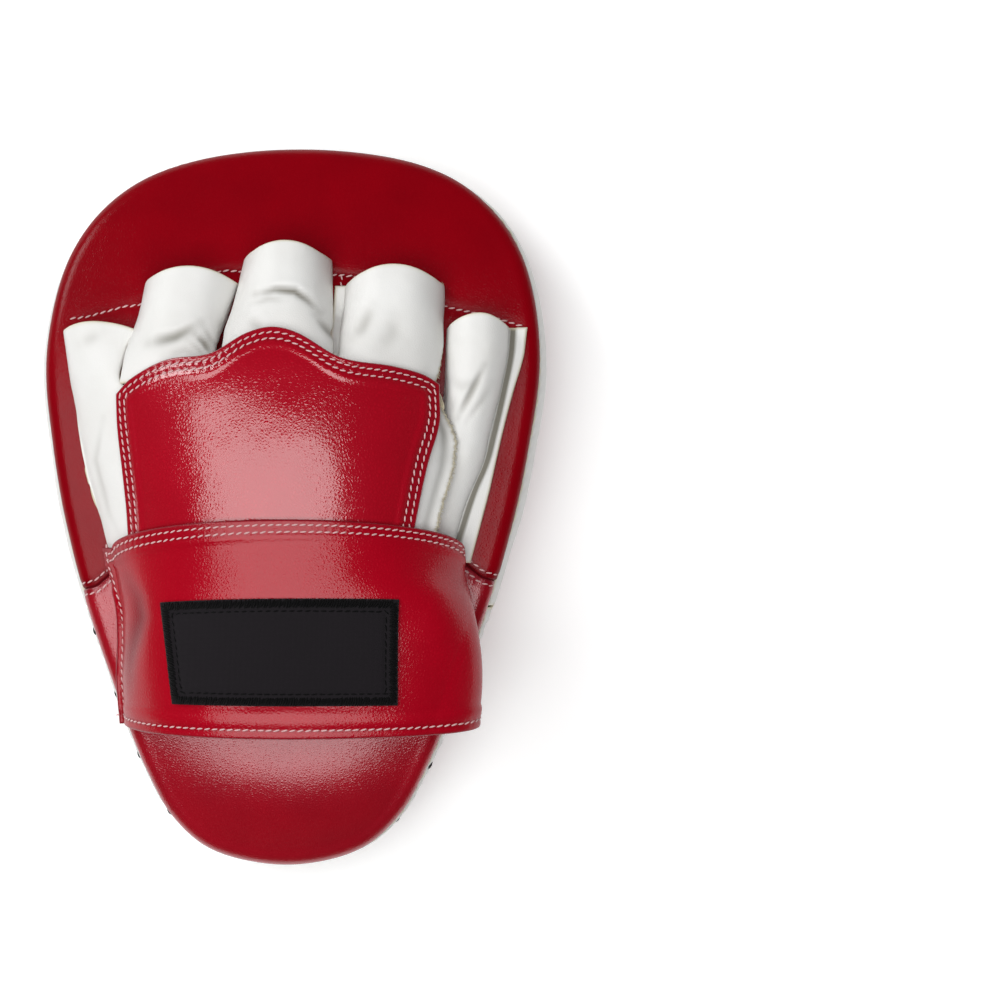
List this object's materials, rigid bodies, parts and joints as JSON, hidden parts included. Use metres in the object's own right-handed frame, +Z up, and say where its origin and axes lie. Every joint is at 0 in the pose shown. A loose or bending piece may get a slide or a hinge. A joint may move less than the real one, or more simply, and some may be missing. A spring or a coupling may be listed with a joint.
{
  "type": "focus mitt",
  "caption": "Curved leather striking pad with a foam core, a laced side slit, open finger stalls, a panel over the hand and a wrist cuff.",
  "frame": {"origin": "on the surface that the mitt rests on, under the middle of its box", "axes": "+Y towards the fingertips, +X towards the thumb, +Z up out of the glove side"},
  "size_m": [0.1888, 0.2728, 0.0981],
  "materials": {
    "foam": "matte black foam",
    "face_leather": "red leather with a fine pebble grain",
    "back_leather": "smooth dark red leather, soft gloss",
    "white_leather": "white leather, fine creases",
    "lace": "black woven lace",
    "glove_leather": "red leather, fine grain, soft gloss",
    "patch": "black woven label cloth, bare"
  },
  "bodies": {
    "root": {"foam_core": "foam", "front_cover": "face_leather", "back_cover_upper": "back_leather", "back_cover_lower": "back_leather", "side_wall": "white_leather", "side_hem_front": "white_leather", "side_hem_back": "white_leather", "lace": "lace", "little_stall": "white_leather", "ring_stall": "white_leather", "middle_stall": "white_leather", "index_stall": "white_leather", "thumb_stall": "white_leather", "hand_back": "glove_leather", "cuff": "glove_leather", "patch": "patch"}
  },
  "joints": []
}
